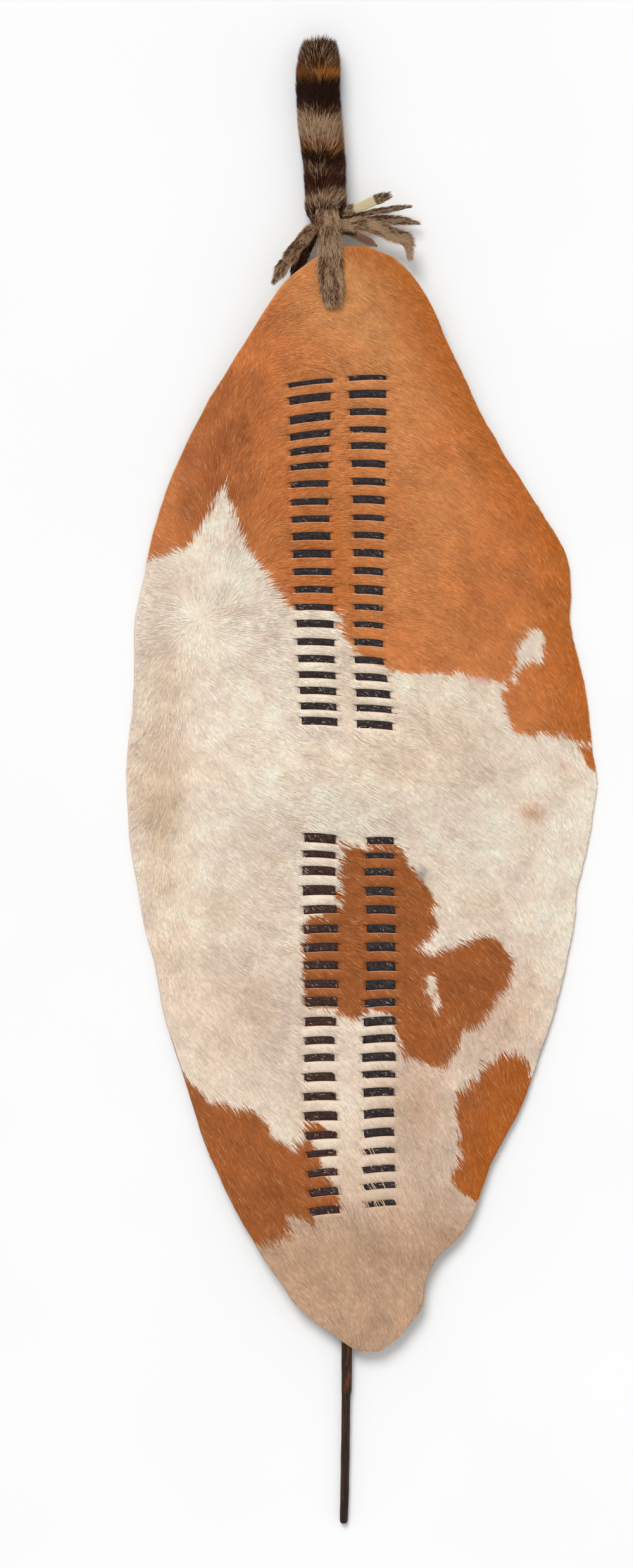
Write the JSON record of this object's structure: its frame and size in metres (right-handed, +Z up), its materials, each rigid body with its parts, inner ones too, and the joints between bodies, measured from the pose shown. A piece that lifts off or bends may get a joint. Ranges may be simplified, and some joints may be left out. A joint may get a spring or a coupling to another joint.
{
  "type": "hide shield",
  "caption": "Long oval war shield of brown and cream cowhide, laced with dark hide, its stick headed with wound fur.",
  "frame": {"origin": "on the ground under the middle of the shield, stick and fur as they lie", "axes": "+Z up through the hair side, +Y along the stick towards its fur-wrapped head, +X across the hide"},
  "size_m": [0.6154, 1.944, 0.0479],
  "materials": {
    "cowhide": "short combed hair, brown patches on cream",
    "lacing_hide": "short dark hair",
    "stick_wood": "dark, worn smooth",
    "rawhide": "dry rawhide",
    "banded_fur": "long soft banded fur"
  },
  "bodies": {
    "root": {"shield_hide": "cowhide", "lacing_upper_left": "lacing_hide", "lacing_upper_right": "lacing_hide", "lacing_lower_left": "lacing_hide", "lacing_lower_right": "lacing_hide", "stick": "stick_wood", "stick_tie_1": "rawhide", "stick_tie_2": "rawhide", "stick_tie_3": "rawhide", "stick_tie_4": "rawhide", "fur_wrap": "banded_fur", "fur_strip_front": "banded_fur", "fur_strip_right_top": "banded_fur", "fur_strip_right_thin": "banded_fur", "fur_strip_right_curl": "banded_fur", "fur_strip_right_long": "banded_fur", "fur_strip_right_short": "banded_fur", "fur_strip_left_long": "banded_fur", "fur_strip_left_grey": "banded_fur", "fur_strip_back": "banded_fur"}
  },
  "joints": []
}
